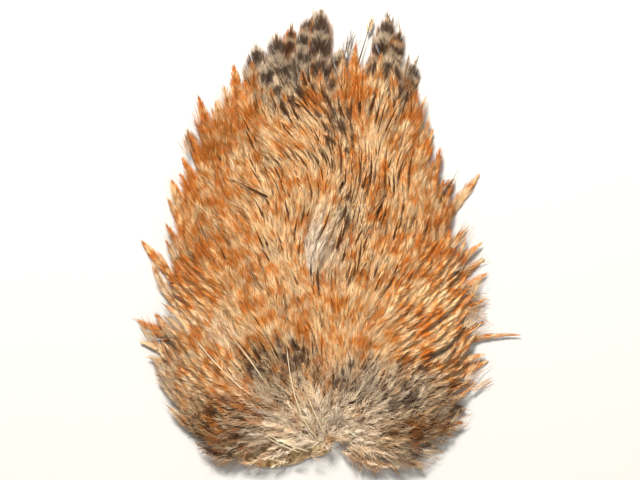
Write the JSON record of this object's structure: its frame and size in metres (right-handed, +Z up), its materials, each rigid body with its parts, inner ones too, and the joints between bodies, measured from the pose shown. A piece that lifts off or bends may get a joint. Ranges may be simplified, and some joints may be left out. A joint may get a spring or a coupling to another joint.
{
  "type": "rooster saddle hackle",
  "caption": "Dried rooster saddle patch lying flat, with a shingled coat of barred ginger feathers that fan out from its cut front edge.",
  "frame": {"origin": "on the flat underside of the dried skin, under the middle of the patch", "axes": "+Z up, away from the surface it lies on; +Y towards the tail end, where the long feathers point; -Y towards the cut front edge"},
  "size_m": [0.1957, 0.2372, 0.0226],
  "materials": {
    "skin": "dried hide, yellowish, slightly translucent at the cut edge",
    "coat": "short ginger and cream barred feathers, soft satin barbs",
    "ginger": "ginger feather with cream bars, satin",
    "grizzle": "brown-black feather with grey and cream bars, satin",
    "cream": "pale cream feather, satin",
    "down": "soft grey-brown down, matt"
  },
  "bodies": {
    "root": {"skin": "skin", "feather_coat": "coat", "tail_feather_01": "ginger", "tail_feather_02": "grizzle", "tail_feather_03": "grizzle", "tail_feather_04": "ginger", "tail_feather_05": "grizzle", "tail_feather_06": "grizzle", "tail_feather_07": "grizzle", "tail_feather_08": "ginger", "tail_feather_09": "cream", "tail_feather_10": "cream", "tail_feather_11": "grizzle", "tail_feather_12": "ginger", "tail_feather_13": "grizzle", "right_feather_01": "cream", "right_feather_02": "ginger", "right_feather_03": "ginger", "right_feather_04": "ginger", "right_feather_05": "grizzle", "right_feather_06": "cream", "right_feather_07": "cream", "right_feather_08": "ginger", "right_feather_09": "cream", "right_feather_10": "cream", "right_feather_11": "ginger", "right_feather_12": "ginger", "right_feather_13": "ginger", "right_feather_14": "cream", "right_feather_15": "cream", "right_feather_16": "ginger", "front_feather_01": "grizzle", "front_feather_02": "down", "front_feather_03": "down", "front_feather_04": "down", "front_feather_05": "down", "front_feather_06": "down", "front_feather_07": "down", "front_feather_08": "down", "front_feather_09": "down", "front_feather_10": "grizzle", "left_feather_01": "grizzle", "left_feather_02": "cream", "left_feather_03": "cream", "left_feather_04": "cream", "left_feather_05": "ginger", "left_feather_06": "down", "left_feather_07": "ginger", "left_feather_08": "cream", "left_feather_09": "ginger", "left_feather_10": "ginger", "left_feather_11": "ginger", "left_feather_12": "grizzle", "left_feather_13": "ginger", "left_feather_14": "ginger"}
  },
  "joints": []
}
